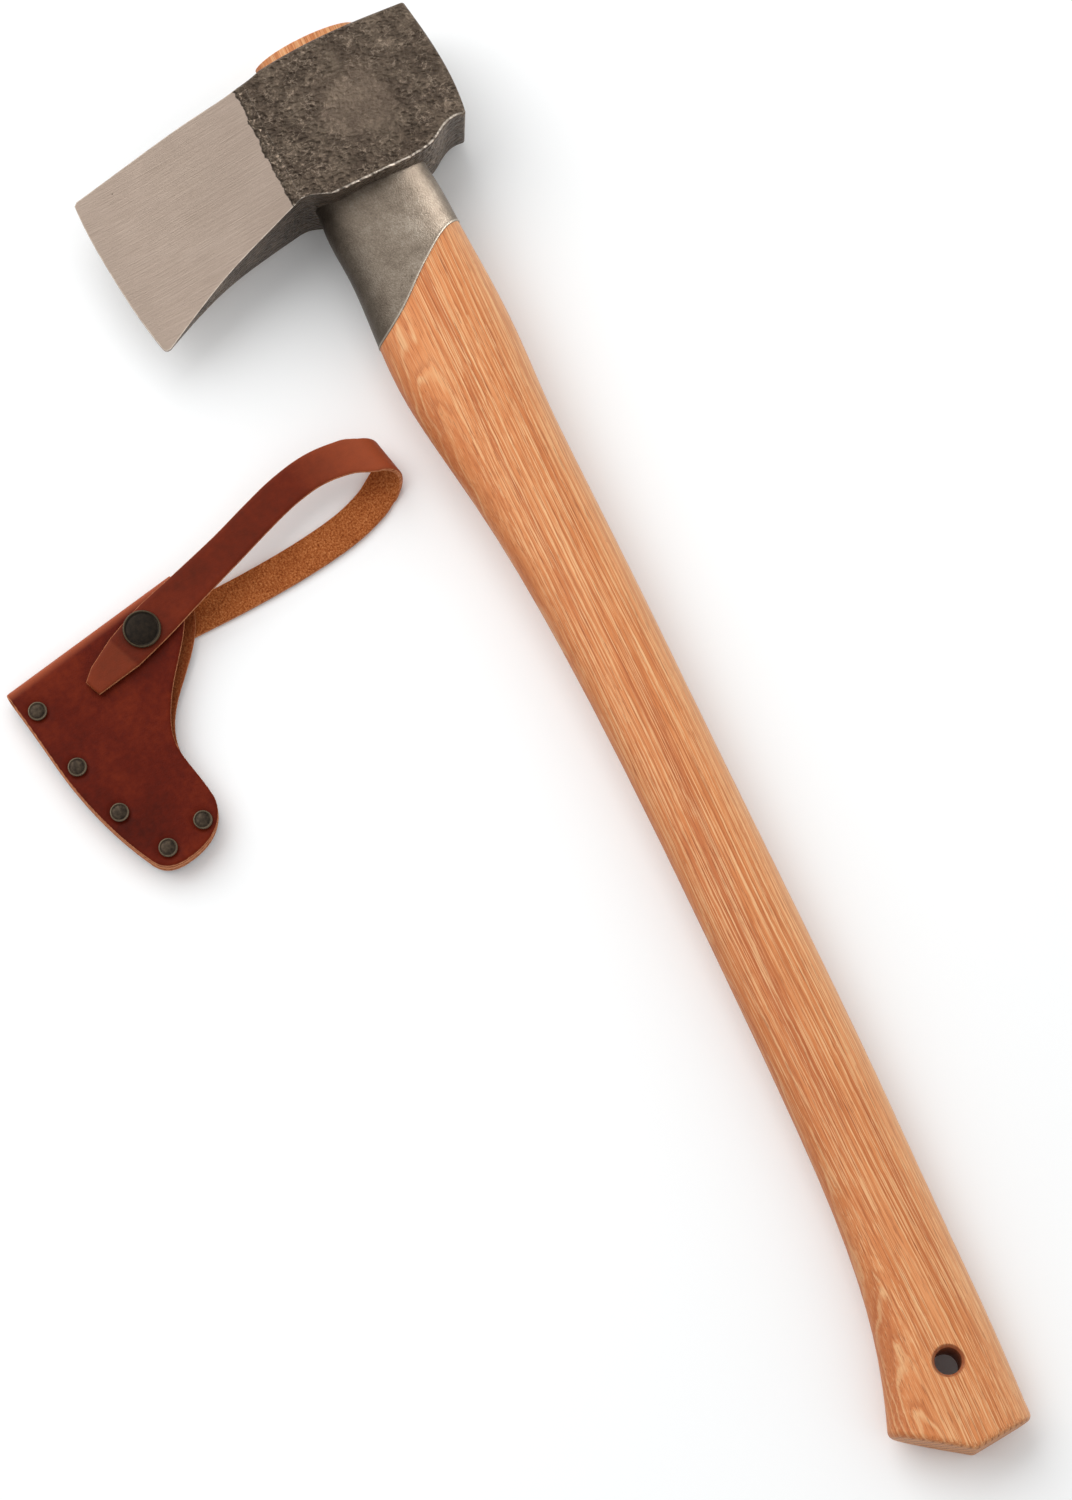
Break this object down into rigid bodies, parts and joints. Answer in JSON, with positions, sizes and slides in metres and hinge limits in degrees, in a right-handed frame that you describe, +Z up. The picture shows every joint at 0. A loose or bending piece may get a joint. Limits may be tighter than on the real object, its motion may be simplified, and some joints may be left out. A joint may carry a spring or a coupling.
{
  "type": "splitting axe with leather sheath",
  "caption": "Long-handled splitting axe with a forged wedge head and steel collar guard, lying on its side, beside its riveted leather bit sheath with a snap strap.",
  "frame": {"origin": "on the table under the centre of the whole row's box", "axes": "+X along the handle from butt to head, +Y from the poll's side towards the sheath, +Z up from the table"},
  "size_m": [0.6992, 0.3, 0.0571],
  "materials": {
    "head_steel": "forged scale on the cheeks and poll, satin ground bit",
    "collar_steel": "dull blasted steel",
    "hickory": "oiled and lightly waxed",
    "wedge_wood": "end grain, oiled",
    "wedge_steel": "sawn steel",
    "leather": "vegetable-tanned grain side, satin",
    "rivet_metal": "antiqued gunmetal",
    "snap_metal": "near-black antiqued metal"
  },
  "bodies": {
    "axe": {"axe_head": "head_steel", "collar_guard": "collar_steel", "handle": "hickory", "wooden_wedge": "wedge_wood", "steel_wedge": "wedge_steel"},
    "sheath": {"sheath_leather": "leather", "sheath_welt": "leather", "sheath_rivet_caps": "rivet_metal", "sheath_rivet_posts": "rivet_metal", "strap_lower_run": "leather", "strap_rivet_caps": "rivet_metal", "strap_rivet_posts": "rivet_metal", "snap_stud": "snap_metal", "snap_eyelet": "snap_metal"},
    "strap": {"strap_upper_run": "leather", "snap_cap": "snap_metal", "snap_socket": "snap_metal"}
  },
  "joints": [
    {"name": "sheath_lift", "type": "slide", "parent": "axe", "child": "sheath", "axis": [0, 0, 1], "range_m": [0, 0.25]},
    {"name": "strap_flex", "type": "hinge", "parent": "sheath", "child": "strap", "pos_m": [0.16793, -0.04056, 0.0176], "axis": [0.9798, 0.2, 0], "range_deg": [0, 110]}
  ]
}
